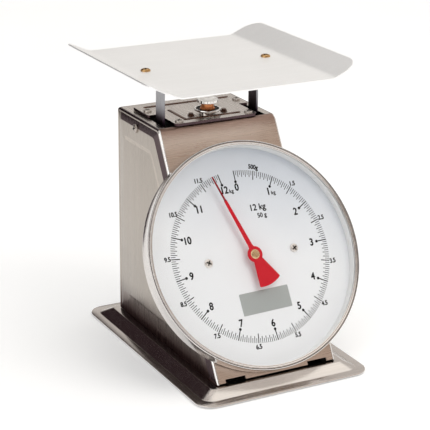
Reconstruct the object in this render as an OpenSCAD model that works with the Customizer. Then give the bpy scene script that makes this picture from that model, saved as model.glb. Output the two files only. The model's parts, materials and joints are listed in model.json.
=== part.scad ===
// Dial kitchen scale: sheet steel housing, sloping dial, flared weighing platform.
// Origin: middle of the overall footprint, on the surface it stands on. +Z up, dial faces -Y.
// The modules draw around the middle of the base, and placed() moves them to the origin.

/* [Base] */
// Base width at the outer flange, mm
base_w = 164.8; // [120:0.2:220]
// Base depth at the outer flange, mm
base_d = 238.2; // [160:0.2:320]
// Height of the flat plateau the housing stands on, mm
plateau_z = 8.3; // [5:0.1:20]
// How far the rubber feet reach below the flange, mm
foot_drop = 1.5; // [0.5:0.1:5]

/* [Housing] */
// Distance between the two fold lines of the front, mm
front_w = 115.6; // [80:0.2:180]
// Height of the housing top above the table, mm
top_z = 202.7; // [140:0.1:300]
// Position of the upright rear wall, mm behind the base centre
rear_y = 96; // [60:0.5:140]
// Sheet thickness of the housing, mm
sheet = 1.2; // [0.8:0.1:2.5]

/* [Dial] */
// Lean of the dial back from upright, degrees
tilt = 30; // [0:1:50]
// Height of the dial centre above the table, mm
dial_z = 98; // [70:0.5:160]
// Outer radius of the dial drum, mm
dial_r = 100; // [60:1:130]
// Depth of the dial drum in front of the housing, mm
drum_h = 14.2; // [8:0.1:30]
// Length of the pointer from its hub, mm
pointer_l = 75.6; // [40:0.1:100]
// Angle of the resting pointer, clockwise from the top, degrees
rest_a = -17.6; // [-40:0.1:40]

/* [Platform] */
// Width of the flat part of the platform, mm
flat_w = 145; // [80:1:220]
// Width over the flared ends, mm
flare_w = 196.6; // [100:0.2:300]
// Depth of the platform, mm
plat_d = 182; // [100:1:260]
// Height of the flat platform surface, mm
plat_z = 250; // [180:0.5:360]
// Rise of the flared ends above the flat, mm
flare_h = 11.8; // [4:0.1:30]
// Platform sheet thickness, mm
plat_t = 1.2; // [0.8:0.1:3]
// Travel of the platform from empty to its lower stop, mm
travel = 17.7; // [8:0.1:30]

/* [Load column] */
// Distance of the load column behind the base centre, mm
col_y = 33; // [0:0.5:70]
// Inner face of each post from the middle, mm
post_x = 45; // [30:0.5:60]
// Post strip width, mm
post_w = 14.5; // [8:0.5:25]
// Post strip thickness, mm
post_t = 2; // [1:0.1:4]

/* [Hidden] */
$fn = 48;
dial_y = -47;
origin_y = (col_y + plat_d / 2 - base_d / 2) / 2;
half = front_w / 2;
base_z = foot_drop;
slope = tan(tilt);
bend_r = 5.5;
mod = 0.4;
teeth = 12;
pin_r = mod * teeth / 2;
pinion_l = 41;
shaft_r = 1.5;
bore_gap = 0.05;
plate_z = top_z + 2.9;
yoke_z = 57;
spring_x = 22;
spring_r = 8.4;
wire_r = 1.1;
bar_z = 180;
arm_l = 55;
arm_a = 9.25;
arm_y = col_y + arm_l;
upper_z = 170;
lower_z = 95;
up_x = 36;
bumper_x = 15;

module placed() { translate([0, -origin_y, 0]) children(); }

function front_y(z) = dial_y + (z - dial_z) * slope;

// Dial frame: x to the right, y up the slope, z out of the face.
module on_dial() {
  translate([0, dial_y, dial_z]) rotate([90 - tilt, 0, 0]) children();
}

// Extrudes a drawing of the side view (y, z) along x.
module side_extrude(x0, x1) {
  translate([x0, 0, 0]) rotate([90, 0, 90]) linear_extrude(x1 - x0) children();
}

function arc(cx, cy, r, a0, a1, n) =
  [for (i = [0:n]) let (a = a0 + (a1 - a0) * i / n) [cx + r * cos(a), cy + r * sin(a)]];

module rounded_rect(w, d, r) {
  square([w - 2 * r, d], center = true);
  square([w, d - 2 * r], center = true);
  for (sx = [-1, 1], sy = [-1, 1])
    translate([sx * (w / 2 - r), sy * (d / 2 - r)]) circle(r);
}

module slab(w, d, r, z0, z1) {
  translate([0, 0, z0]) linear_extrude(z1 - z0) rounded_rect(w, d, r);
}

module box(a, b) {
  translate(a) cube([b[0] - a[0], b[1] - a[1], b[2] - a[2]]);
}

// Screw with its seat at z = 0, head above, shank below.
module screw(head_r, head_h, shank_r, len) {
  difference() {
    union() {
      cylinder(r = head_r, h = head_h * 0.45);
      translate([0, 0, head_h * 0.45])
        cylinder(r1 = head_r, r2 = head_r * 0.62, h = head_h * 0.55);
      translate([0, 0, -len]) cylinder(r = shank_r, h = len + 0.1, $fn = 24);
    }
    for (a = [0, 90]) rotate([0, 0, a + 20])
      translate([-head_r * 0.55, -head_r * 0.1, head_h * 0.45])
        cube([head_r * 1.1, head_r * 0.2, head_h]);
  }
}

// Wire coil as one closed solid.
module coil(r, w, z0, z1, turns, seg, sides) {
  n = turns * seg;
  lead = z1 - z0;
  pts = [for (i = [0:n], j = [0:sides - 1])
    let (a = 360 * i / seg, b = 360 * j / sides, q = r + w * cos(b))
      [q * cos(a), q * sin(a), z0 + lead * i / n + w * sin(b)]];
  walls = [for (i = [0:n - 1], j = [0:sides - 1], k = [0, 1])
    let (a = i * sides + j, b = i * sides + (j + 1) % sides)
      k == 0 ? [a, a + sides, b] : [b, a + sides, b + sides]];
  start = [for (j = [0:sides - 1]) j];
  stop = [for (j = [sides - 1:-1:0]) n * sides + j];
  polyhedron(points = pts, faces = concat(walls, [start], [stop]), convexity = 8);
}

// ---- base ----

module base_plate() {
  color([0.62, 0.6, 0.58]) difference() {
    union() {
      slab(base_w, base_d, 15, base_z, base_z + sheet);
      hull() {
        slab(base_w - 15.2, base_d - 17.4, 10, base_z, base_z + sheet);
        slab(base_w - 36, base_d - 36.6, 5, plateau_z - 0.1, plateau_z, $fn = 32);
      }
    }
    hull() {
      slab(base_w - 18.2, base_d - 20.4, 9, base_z - 0.1, base_z);
      slab(base_w - 39, base_d - 39.6, 4, plateau_z - sheet - 0.1, plateau_z - sheet);
    }
    for (p = base_fix()) translate([p[0], p[1], 0]) cylinder(r = 2.1, h = 20);
    for (p = upright_fix()) translate([p[0], p[1], 0]) cylinder(r = 2.1, h = 20);
    for (p = foot_fix()) translate([p[0], p[1], 0]) cylinder(r = 2.6, h = 20);
    for (x = [-bumper_x, bumper_x]) translate([x, col_y, 0]) cylinder(r = 2.1, h = 20);
  }
}

function base_fix() = [for (x = [-50, 50], y = [-66, -20, 26, 72]) [x, y]];
function upright_fix() = [for (x = [-30, 30], y = [-40, 70]) [x, y]];
function foot_fix() = [for (x = [-52, 52], y = [-89, 89]) [x, y]];

module rubber_feet() {
  color([0.12, 0.12, 0.12]) for (p = foot_fix()) translate([p[0], p[1], 0]) {
    cylinder(r1 = 7.5, r2 = 8.5, h = plateau_z - sheet - 0.05);
    cylinder(r = 2.5, h = plateau_z + 1.2);
    translate([0, 0, plateau_z + 0.1]) cylinder(r1 = 4, r2 = 2.6, h = 1.8);
  }
}

module base_screws() {
  color([0.7, 0.7, 0.72]) for (p = base_fix())
    translate([p[0], p[1], plateau_z - sheet]) rotate([180, 0, 0]) screw(3.8, 2.2, 1.9, 6);
}

// ---- housing ----

module side_outline(m, low) {
  polygon([[front_y(low) + m, low], [front_y(top_z - m) + m * 1.1, top_z - m],
    [rear_y - m, top_z - m], [rear_y - m, low]]);
}

// Pressed field of the side panel, set back from all four edges.
module side_field(m) {
  lo = 28 + m;
  hi = 178 - m;
  polygon([[front_y(lo) + 26 + m * 1.1, lo], [front_y(hi) + 26 + m * 1.1, hi],
    [rear_y - 10 - m, hi], [rear_y - 10 - m, lo]]);
}

module side_panel() {
  difference() {
    union() {
      side_extrude(half - sheet, half) side_outline(0, plateau_z + 0.2);
      side_extrude(half - 0.4, half + 0.5) side_field(1.2);
      box([half - 14, -90, plateau_z + 0.05], [half - 0.3, 94, plateau_z + 0.05 + sheet]);
    }
    side_extrude(half - 2, half - 0.7) side_field(2.4);
    for (p = base_fix()) if (p[0] > 0)
      translate([p[0], p[1], 0]) cylinder(r = 2.1, h = 20);
    for (p = foot_fix()) if (p[0] > 0)
      translate([p[0], p[1], 0]) cylinder(r = 4.5, h = 20);
    side_hole(half);
  }
}

module side_hole(x) {
  translate([x - 5, 58.5, 192.5]) rotate([0, 90, 0]) cylinder(r = 2.1, h = 10);
}

module right_side_panel() { color([0.72, 0.7, 0.67]) side_panel(); }
module left_side_panel() { color([0.72, 0.7, 0.67]) mirror([1, 0, 0]) side_panel(); }

module side_screws() {
  color([0.75, 0.75, 0.76]) for (s = [-1, 1])
    translate([s * half, 58.5, 192.5]) rotate([0, s * 90, 0]) screw(4, 2.2, 1.9, 6);
}

// Side view of the front sheet: slope, rolled top edge and the short lip behind it.
function front_profile() =
  let (r = bend_r, cy = front_y(top_z - r) + r / cos(tilt), cz = top_z - r,
    zb = plateau_z + 0.15 + sheet * sin(tilt), yb = front_y(zb))
    concat([[yb, zb]], arc(cy, cz, r, 180 - tilt, 90, 8),
      [[16.9, top_z], [16.9, top_z - sheet]], arc(cy, cz, r - sheet, 90, 180 - tilt, 8),
      [[yb + sheet * cos(tilt), zb - sheet * sin(tilt)]]);

module front_panel() {
  w = half - sheet - 0.05;
  color([0.6, 0.55, 0.5]) difference() {
    side_extrude(-w, w) polygon(front_profile());
    on_dial() translate([0, 0, -5]) cylinder(r = 9, h = 10);
    on_dial() for (s = [-1, 1]) translate([s * 42, 0, -5]) cylinder(r = 1.65, h = 10);
    for (s = [-1, 1]) translate([s * 40, -96, plateau_z]) cube([19, 12, 4.6], center = true);
  }
}

module top_cap() {
  w = half - sheet - 0.05;
  color([0.7, 0.68, 0.66]) difference() {
    union() {
      box([-w, 17, top_z - sheet], [w, rear_y - sheet - 0.05, top_z]);
      for (s = [0, 1]) mirror([s, 0, 0])
        box([w - sheet, 48, top_z - 17], [w, 69, top_z - 0.1]);
    }
    box([-49.2, 10, top_z - 25], [49.2, 68, top_z + 5]);
    for (s = [0, 1]) mirror([s, 0, 0]) side_hole(half);
  }
}

module rear_cover() {
  w = half - sheet - 0.05;
  color([0.68, 0.66, 0.64]) difference() {
    box([-w, rear_y - sheet, plateau_z + 0.1], [w, rear_y, top_z]);
    for (p = rear_fix()) translate([p[0], rear_y + 2, p[1]]) rotate([90, 0, 0])
      cylinder(r = 2.1, h = 6);
    for (z = [120, 128, 136, 144, 152]) box([-22, rear_y - 3, z], [22, rear_y + 1, z + 3]);
  }
}

function rear_fix() = [for (x = [-43, 43], z = [30, 186]) [x, z]];

module rear_cover_screws() {
  color([0.72, 0.72, 0.74]) for (p = rear_fix())
    translate([p[0], rear_y, p[1]]) rotate([-90, 0, 0]) screw(3.6, 2, 1.9, 7);
}

// ---- inner chassis ----

module upright() {
  difference() {
    union() {
      side_extrude(up_x, up_x + 1.5) polygon([[19.5, 204], [64, 204], [93, 176],
        [93, plateau_z + 0.1], [-62, plateau_z + 0.1], [-62, 42], [-22, 118]]);
      box([28, 17.1, 202.5], [up_x + 0.5, 26, 204]);
      box([up_x + 1, 56, 202.5], [48.2, 67, 204]);
      for (p = rear_fix()) if (p[0] > 0)
        box([up_x + 0.5, 93, p[1] - 9], [48, 94.7, p[1] + 9]);
      box([up_x, 90, 21], [up_x + 1.5, 94, 39]);
      box([up_x, 60, 170], [up_x + 1.5, 94.7, 195]);
      box([25, -50, plateau_z + 0.1], [up_x + 0.5, 80, plateau_z + 1.6]);
    }
    box([up_x - 1, col_y - 9, 30], [up_x + 3, col_y + 9, 72]);
    for (z = [upper_z, lower_z]) translate([0, arm_y, z - arm_l * sin(arm_a)])
      rotate([0, 90, 0]) cylinder(r = 2.5 + bore_gap, h = 60);
    for (p = upright_fix()) translate([p[0], p[1], 0]) cylinder(r = 2.1, h = 20);
    for (p = plate_fix()) translate([p[0], p[1], 198]) cylinder(r = 1.9, h = 10);
    for (p = rear_fix()) translate([p[0], rear_y - 9, p[1]]) rotate([-90, 0, 0])
      cylinder(r = 2.1, h = 12);
  }
}

module right_upright() { color([0.5, 0.5, 0.52]) upright(); }
module left_upright() { color([0.5, 0.5, 0.52]) mirror([1, 0, 0]) upright(); }

module upright_screws() {
  color([0.7, 0.7, 0.72]) for (p = upright_fix())
    translate([p[0], p[1], plateau_z - sheet]) rotate([180, 0, 0]) screw(3.8, 2.2, 1.9, 6);
}

module stop_bumper() {
  top = yoke_z - 5 - travel - 0.3;
  color([0.14, 0.14, 0.14]) for (s = [-1, 1]) translate([s * bumper_x, col_y, 0]) {
    translate([0, 0, plateau_z + 0.05]) cylinder(r1 = 8, r2 = 6, h = top - plateau_z - 0.05);
    translate([0, 0, 3]) cylinder(r = 2, h = 10);
    translate([0, 0, 3]) cylinder(r = 4, h = plateau_z - sheet - 3.05);
  }
}

function plate_fix() = [[-44.7, 61.5], [44.7, 61.5], [-34.2, 20.5], [34.2, 20.5]];

module plate_outline(m) {
  difference() {
    translate([-50 + m, 14.4 + m]) square([100 - 2 * m, 66 - 2 * m]);
    for (s = [-1, 1]) {
      translate([s * 50.5 - 10.2 - m, -5]) square([20.4 + 2 * m, 54 + m]);
      translate([s * 50, 14]) rotate([0, 0, s * 45]) square([30 + 2 * m, 18 + 2 * m], center = true);
    }
  }
}

module hanger_plate() {
  color([0.74, 0.72, 0.7]) difference() {
    union() {
      translate([0, 0, top_z + 0.4]) linear_extrude(plate_z - top_z - 0.4) plate_outline(0);
      bead([-26, 24], [-26, 56], 0.7);
      bead([-26, 24], [26.5, 24], 0.7);
      bead([-41, 74], [41, 74], 0.7);
    }
    translate([0, 0, top_z - 1]) linear_extrude(plate_z - top_z - 0.5) plate_outline(1.5);
    translate([0, col_y, 190]) cylinder(r = 3 + bore_gap, h = 30);
    for (s = [-1, 1]) translate([s * 16.3, col_y, 190]) cylinder(r = 2.02, h = 30);
    for (p = plate_fix()) translate([p[0], p[1], 190]) cylinder(r = 1.9, h = 30);
  }
}

// Round-topped stiffening bead between two points of the plate.
module bead(a, b, h) {
  d = b - a;
  translate([a[0], a[1], plate_z - 0.4]) {
    rotate([0, 0, atan2(d[1], d[0])]) box([0, -1.4, 0], [norm(d), 1.4, h + 0.4]);
    cylinder(r = 1.4, h = h + 0.4);
    translate([d[0], d[1], 0]) cylinder(r = 1.4, h = h + 0.4);
  }
}

module hanger_plate_screws() {
  color([0.72, 0.72, 0.74]) for (p = plate_fix())
    translate([p[0], p[1], plate_z]) rotate([0, 0, p[0]]) screw(3.7, 2, 1.8, 8);
}

module guide_pins() {
  color([0.35, 0.33, 0.3]) for (s = [-1, 1]) translate([s * 16.3, col_y, 0]) {
    translate([0, 0, bar_z - 1.4]) cylinder(r = 2, h = 208 - bar_z + 1.4);
    translate([0, 0, plate_z]) cylinder(r = 3, h = 1);
  }
}

module knob_collar() {
  color([0.85, 0.85, 0.87]) translate([0, col_y, 0]) difference() {
    union() {
      translate([0, 0, plate_z]) cylinder(r = 7.2, h = 2.4);
      translate([0, 0, 208]) cylinder(r = 11.5, h = 3.6);
      for (i = [0:23]) rotate([0, 0, i * 15]) translate([11.3, 0, 208.4])
        cylinder(r = 0.8, h = 2.8, $fn = 16);
    }
    translate([0, 0, 209.2]) cylinder(r = 10, h = 5);
    translate([0, 0, 190]) cylinder(r = 3 + bore_gap, h = 30);
  }
}

// ---- pointer movement ----

module movement_front_plate() {
  color([0.6, 0.6, 0.62]) on_dial() difference() {
    translate([-up_x, -14, -31.5]) cube([2 * up_x, 19, 1.5]);
    translate([0, 0, -40]) cylinder(r = 3.02, h = 20);
    for (s = [-1, 1]) translate([s * 28, 0, -40]) cylinder(r = 1.62, h = 20);
  }
}

module movement_rear_plate() {
  color([0.6, 0.6, 0.62]) on_dial() difference() {
    translate([-up_x, -4.5, -51.5]) cube([2 * up_x, 12.5, 1.5]);
    translate([0, 0, -60]) cylinder(r = 3.02, h = 20);
    for (s = [-1, 1]) translate([s * 28, 0, -60]) cylinder(r = 1.62, h = 20);
  }
}

module movement_pillars() {
  color([0.75, 0.66, 0.4]) on_dial() for (s = [-1, 1]) translate([s * 28, 0, 0]) {
    translate([0, 0, -49.95]) cylinder(r = 3, h = 18.4);
    translate([0, 0, -53]) cylinder(r = 1.6, h = 24);
  }
}

module bush() {
  difference() {
    union() {
      cylinder(r = 3, h = 2.5);
      translate([0, 0, -1.2]) cylinder(r = 4, h = 1.2);
    }
    translate([0, 0, -3]) cylinder(r = shaft_r + bore_gap, h = 8);
  }
}

module front_bush() {
  color([0.8, 0.65, 0.3]) on_dial() translate([0, 0, -29.95]) rotate([180, 0, 0]) bush();
}

module rear_bush() {
  color([0.8, 0.65, 0.3]) on_dial() translate([0, 0, -51.55]) bush();
}

// ---- dial ----

module disc(r, z0, z1) { translate([0, 0, z0]) cylinder(r = r, h = z1 - z0, $fn = 120); }

module ring(ri, ro, z0, z1) {
  difference() {
    disc(ro, z0, z1);
    disc(ri, z0 - 1, z1 + 1);
  }
}

module dial_fix_holes(r) {
  for (s = [-1, 1]) translate([s * 42, 0, -5]) cylinder(r = r, h = 20);
}

module dial_case() {
  color([0.7, 0.7, 0.72]) on_dial() difference() {
    union() {
      disc(98.8, 0.05, 1.2);
      ring(97.6, 98.8, 0.05, 12.9);
      for (s = [-1, 1]) translate([s * 42, 0, 0.1]) cylinder(r = 4.5, h = 2.55);
    }
    translate([0, 0, -5]) cylinder(r = 8, h = 20);
    dial_fix_holes(1.65);
  }
}

module dial_plate() {
  color([0.94, 0.95, 0.96]) on_dial() difference() {
    disc(97.4, 2.7, 3.7);
    translate([0, 0, -5]) cylinder(r = 3, h = 20);
    dial_fix_holes(1.65);
  }
}

module dial_label() {
  color([0.85, 0.86, 0.87]) on_dial() rotate([0, 0, 1.2])
    translate([-21.5, -49.6, 3.7]) cube([48, 19, 0.15]);
}

module dial_screws() {
  color([0.78, 0.78, 0.8]) on_dial() for (s = [-1, 1])
    translate([s * 42, 0, 3.7]) rotate([0, 0, s * 25]) screw(3.9, 1.8, 1.6, 8);
}

module spacer_ring() { color([0.93, 0.93, 0.93]) on_dial() ring(95.6, 97.4, 3.75, 11.9); }
module lens() { color([0.9, 0.95, 1, 0.3]) on_dial() disc(97.4, 12, 12.95); }
module lens_gasket() { color([0.2, 0.2, 0.2]) on_dial() ring(96.4, 98.7, 12.97, 13.18); }

module bezel_ring() {
  color([0.8, 0.79, 0.77]) on_dial() {
    ring(98.9, dial_r, 0.4, drum_h);
    ring(95.8, dial_r, 13.2, drum_h);
  }
}

module pointer() {
  color([0.8, 0.12, 0.1]) on_dial() rotate([0, 0, -rest_a]) difference() {
    union() {
      translate([0, 0, 10]) cylinder(r = 6, h = 0.75);
      translate([0, 0, 10.1]) linear_extrude(0.6) polygon([[-2.4, 3], [-1.6, 52],
        [-0.5, 53.5], [-0.35, pointer_l], [0.35, pointer_l], [0.5, 53.5], [1.6, 52], [2.4, 3]]);
      intersection() {
        translate([0, 0, 10.1]) cylinder(r = 29, h = 0.6, $fn = 96);
        translate([0, 0, 9]) linear_extrude(3)
          polygon([[-2, -3], [-40 * tan(24), -40], [40 * tan(24), -40], [2, -3]]);
      }
    }
    translate([0, 0, 5]) cylinder(r = 2.02, h = 10);
  }
}

module pointer_hub() {
  color([0.75, 0.2, 0.15]) on_dial() difference() {
    translate([0, 0, 6]) cylinder(r = 2, h = 4.72);
    translate([0, 0, 4]) cylinder(r = shaft_r, h = 8);
  }
}

module pointer_cap() {
  color([0.8, 0.62, 0.3]) on_dial() difference() {
    translate([0, 0, 10.75]) cylinder(r1 = 3.5, r2 = 2.7, h = 0.95);
    translate([0, 0, 10]) cylinder(r = shaft_r, h = 1.3);
  }
}

module pointer_shaft() {
  color([0.7, 0.7, 0.72]) on_dial() translate([0, 0, -54])
    cylinder(r = shaft_r, h = 54 + 11.2);
}

module pinion() {
  color([0.8, 0.65, 0.3]) on_dial() translate([0, 0, -pinion_l - 3]) linear_extrude(6)
    difference() {
      union() {
        circle(pin_r - 0.5);
        for (i = [0:teeth - 1]) rotate([0, 0, i * 360 / teeth])
          polygon([[1.7, -0.36], [pin_r, -0.25], [pin_r + 0.34, -0.1],
            [pin_r + 0.34, 0.1], [pin_r, 0.25], [1.7, 0.36]]);
      }
      circle(shaft_r);
    }
}

// ---- platform and load column ----

// Half of the platform section, from the middle to one flared end and back below.
function tray_half(r, a) =
  let (b = flat_w / 2 - r * tan(a / 2),
    len = (flare_w - flat_w) / 2 / cos(a) - r * tan(a / 2) - plat_t * sin(a),
    e = [b + r * sin(a) + len * cos(a), r - r * cos(a) + len * sin(a)])
    concat(arc(b, r, r, -90, a - 90, 8), [e, e + plat_t * [sin(a), -cos(a)]],
      arc(b, r, r + plat_t, a - 90, -90, 8));

module tray_profile() {
  h = tray_half(16, atan(2 * flare_h / (flare_w - flat_w)));
  n = len(h);
  polygon(concat(h, [for (i = [n - 1:-1:0]) [-h[i][0], h[i][1]]]));
}

module platform() {
  color([0.88, 0.88, 0.87]) difference() {
    intersection() {
      translate([0, col_y + plat_d / 2, plat_z]) rotate([90, 0, 0])
        linear_extrude(plat_d) tray_profile();
      translate([0, col_y, 0]) slab(flare_w, plat_d, 16, 200, 300);
    }
    for (s = [-1, 1]) translate([s * 59, col_y + 2, 240]) cylinder(r = 2.2, h = 20);
  }
}

module platform_screws() {
  color([0.76, 0.6, 0.32]) for (s = [-1, 1])
    translate([s * 59, col_y + 2, plat_z]) rotate([0, 0, s * 30]) screw(4.3, 2.2, 2, 7);
}

module post() {
  color([0.72, 0.72, 0.73]) difference() {
    union() {
      box([post_x, col_y - post_w / 2, 46],
        [post_x + post_t, col_y + post_w / 2, plat_z - plat_t - 0.02]);
      box([post_x, col_y - post_w / 2, plat_z - plat_t - 0.02 - post_t],
        [67, col_y + post_w / 2, plat_z - plat_t - 0.02]);
    }
    translate([59, col_y + 2, 230]) cylinder(r = 2.1, h = 30);
    for (y = [-4, 4]) translate([post_x - 1, col_y + y, yoke_z]) rotate([0, 90, 0])
      cylinder(r = 1.75, h = 5);
    for (z = [upper_z, lower_z]) translate([post_x - 1, col_y, z]) rotate([0, 90, 0])
      cylinder(r = 1.55, h = 5);
  }
}

module right_post() { post(); }
module left_post() { mirror([1, 0, 0]) post(); }

module yoke() {
  color([0.45, 0.45, 0.47]) difference() {
    box([-post_x + 0.05, col_y - 6, yoke_z - 5], [post_x - 0.05, col_y + 6, yoke_z + 5]);
    box([-post_x + 6, col_y - 4.5, yoke_z - 6], [post_x - 6, col_y + 4.5, yoke_z + 3.5]);
    for (s = [-1, 1], y = [-4, 4]) translate([s * (post_x - 5), col_y + y, yoke_z])
      rotate([0, 90, 0]) translate([0, 0, -6]) cylinder(r = 1.75, h = 12);
    for (s = [-1, 1]) translate([s * spring_x, col_y, yoke_z]) cylinder(r = 2.1, h = 10);
    for (z = [-2, 2]) translate([5, col_y, yoke_z + z]) rotate([90, 0, 0])
      cylinder(r = 1.3, h = 10);
  }
}

module post_bolts() {
  color([0.6, 0.6, 0.62]) for (s = [-1, 1], y = [-4, 4])
    translate([s * (post_x + post_t), col_y + y, yoke_z]) rotate([0, s * 90, 0])
      screw(3.2, 2.2, 1.7, 7);
}

module arm_pins() {
  color([0.62, 0.62, 0.64]) for (s = [-1, 1], z = [upper_z, lower_z])
    translate([0, col_y, z]) rotate([0, s * 90, 0]) {
      translate([0, 0, 39.2]) cylinder(r = 2, h = post_x - 39.2);
      translate([0, 0, 42.5]) cylinder(r = 3.4, h = post_x - 42.5);
      translate([0, 0, post_x - 0.1]) cylinder(r = 1.5, h = post_t + 0.2);
      translate([0, 0, post_x + post_t]) cylinder(r = 2.8, h = 1);
    }
}

module rack_bracket() {
  color([0.55, 0.55, 0.57]) difference() {
    union() {
      box([8, -16.5, 99], [9.5, col_y - 6.2, 107]);
      box([0.5, col_y - 7.7, yoke_z - 5], [9.5, col_y - 6.2, 107]);
    }
    for (z = [-2, 2]) translate([5, col_y, yoke_z + z]) rotate([90, 0, 0])
      cylinder(r = 1.3, h = 10);
    for (y = [-13.5, -9.5]) translate([0, y, 103]) rotate([0, 90, 0])
      cylinder(r = 1.1, h = 20);
  }
}

module rack_screws() {
  color([0.72, 0.72, 0.74]) {
    for (z = [-2, 2]) translate([5, col_y - 7.7, yoke_z + z]) rotate([90, 0, 0])
      screw(1.9, 1.2, 1.2, 4);
    for (y = [-13.5, -9.5]) translate([9.5, y, 103]) rotate([0, 90, 0])
      screw(1.8, 1.1, 1, 4);
  }
}

module rack() {
  p = PI * mod;
  color([0.8, 0.65, 0.3]) difference() {
    union() {
      box([pin_r + 0.55, -16.5, 69], [7.95, -6.5, 107]);
      intersection() {
        box([pin_r - 1, -16.5, 69], [7, -6.5, 107]);
        on_dial() translate([0, 0, -70]) linear_extrude(70) for (i = [-16:32])
          translate([pin_r, (i + 0.5) * p]) polygon([[-0.3, -0.12], [-0.3, 0.12],
            [0.6, 0.42], [0.6, -0.42]]);
      }
    }
    for (y = [-13.5, -9.5]) translate([0, y, 103]) rotate([0, 90, 0])
      cylinder(r = 1.1, h = 20);
  }
}

module plug(z, dir) {
  for (s = [-1, 1]) translate([s * spring_x, col_y, z]) scale([1, 1, dir]) {
    translate([0, 0, 0.05]) cylinder(r = 8.6, h = 2);
    translate([0, 0, 2]) cylinder(r = spring_r - wire_r - 0.2, h = 9);
  }
}

module lower_spring_plugs() {
  color([0.5, 0.5, 0.5]) {
    plug(yoke_z + 5, 1);
    for (s = [-1, 1]) translate([s * spring_x, col_y, yoke_z + 3.6]) cylinder(r = 2, h = 2);
  }
}

module upper_spring_plugs() { color([0.5, 0.5, 0.5]) plug(bar_z - 4, -1); }

module left_spring() {
  color([0.6, 0.6, 0.62]) translate([-spring_x, col_y, 0])
    coil(spring_r, wire_r, yoke_z + 8.3, bar_z - 7.3, 16, 16, 6);
}

module right_spring() {
  color([0.6, 0.6, 0.62]) translate([spring_x, col_y, 0])
    coil(spring_r, wire_r, yoke_z + 8.3, bar_z - 7.3, 16, 16, 6);
}

// ---- zero adjustment ----

module hanger_bar() {
  color([0.55, 0.55, 0.57]) difference() {
    box([-34, col_y - 6, bar_z - 4], [34, col_y + 6, bar_z + 4]);
    translate([0, col_y, bar_z - 10]) cylinder(r = 3 + bore_gap, h = 20);
    for (s = [-1, 1]) translate([s * 16.3, col_y, bar_z - 10]) cylinder(r = 2.08, h = 20);
  }
}

module hanger_screw() {
  color([0.66, 0.66, 0.68]) translate([0, col_y, 0]) {
    translate([0, 0, bar_z - 9]) cylinder(r = 3, h = 218 - bar_z + 9);
    translate([0, 0, plate_z - 1.6 - 2.4]) cylinder(r = 5, h = 2.2);
  }
}

module knob_neck() {
  color([0.72, 0.42, 0.22]) translate([0, col_y, 0]) difference() {
    union() {
      translate([0, 0, 209.5]) cylinder(r = 5.6, h = 6.6);
      translate([0, 0, 209.5]) cylinder(r = 6.6, h = 1.6);
    }
    translate([0, 0, 205]) cylinder(r = 3, h = 20);
  }
}

module zero_knob() {
  color([0.86, 0.86, 0.88]) translate([0, col_y, 0]) difference() {
    union() {
      translate([0, 0, 216.1]) cylinder(r = 9.6, h = 2.6);
      translate([0, 0, 218.7]) cylinder(r1 = 9.6, r2 = 8.4, h = 0.6);
    }
    for (i = [0:17]) rotate([0, 0, i * 20]) translate([10.1, 0, 215])
      cylinder(r = 0.9, h = 6, $fn = 16);
    translate([0, 0, 210]) cylinder(r = 3, h = 8);
  }
}

// ---- guide arms ----

module arm_links(z) {
  for (s = [-1, 1]) translate([0, arm_y, z - arm_l * sin(arm_a)]) rotate([-arm_a, 0, 0])
    rotate([0, s * 90, 0]) translate([0, 0, 40]) arm_plate();
}

module arm_plate() {
  linear_extrude(1.6) difference() {
    union() {
      translate([-5, -arm_l]) square([10, arm_l]);
      circle(5);
      translate([0, -arm_l]) circle(5);
    }
    circle(2.52);
    translate([-2.3, -arm_l - 0.9]) square([4.6, 1.8]);
    for (d = [-0.9, 0.9]) translate([0, -arm_l + d]) circle(2.3);
  }
}

module upper_arm_links() { color([0.58, 0.58, 0.6]) arm_links(upper_z); }
module lower_arm_links() { color([0.58, 0.58, 0.6]) arm_links(lower_z); }

module arm_shaft(z) {
  translate([-42.4, arm_y, z - arm_l * sin(arm_a)]) rotate([0, 90, 0])
    cylinder(r = 2.5, h = 84.8);
}

module upper_arm_shaft() { color([0.66, 0.66, 0.68]) arm_shaft(upper_z); }
module lower_arm_shaft() { color([0.66, 0.66, 0.68]) arm_shaft(lower_z); }

placed() base_plate();
placed() rubber_feet();
placed() base_screws();
placed() left_side_panel();
placed() right_side_panel();
placed() side_screws();
placed() front_panel();
placed() top_cap();
placed() rear_cover();
placed() rear_cover_screws();
placed() left_upright();
placed() right_upright();
placed() upright_screws();
placed() hanger_plate();
placed() hanger_plate_screws();
placed() guide_pins();
placed() knob_collar();
placed() stop_bumper();
placed() movement_front_plate();
placed() movement_rear_plate();
placed() movement_pillars();
placed() front_bush();
placed() rear_bush();
placed() dial_case();
placed() dial_plate();
placed() dial_label();
placed() dial_screws();
placed() spacer_ring();
placed() lens();
placed() lens_gasket();
placed() bezel_ring();
placed() pointer();
placed() pointer_hub();
placed() pointer_cap();
placed() pointer_shaft();
placed() pinion();
placed() platform();
placed() platform_screws();
placed() left_post();
placed() right_post();
placed() post_bolts();
placed() yoke();
placed() rack_bracket();
placed() rack_screws();
placed() rack();
placed() lower_spring_plugs();
placed() arm_pins();
placed() left_spring();
placed() right_spring();
placed() hanger_bar();
placed() upper_spring_plugs();
placed() zero_knob();
placed() knob_neck();
placed() hanger_screw();
placed() upper_arm_links();
placed() upper_arm_shaft();
placed() lower_arm_links();
placed() lower_arm_shaft();
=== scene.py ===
"""Looks of the dial kitchen scale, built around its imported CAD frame.

The builders below work in millimetres around the middle of the base, which is how the
scale is drawn; finish_piece() turns each mesh into metres in the row frame.
"""

import json
import math

import bmesh
import bpy
from mathutils import Matrix, Vector


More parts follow.
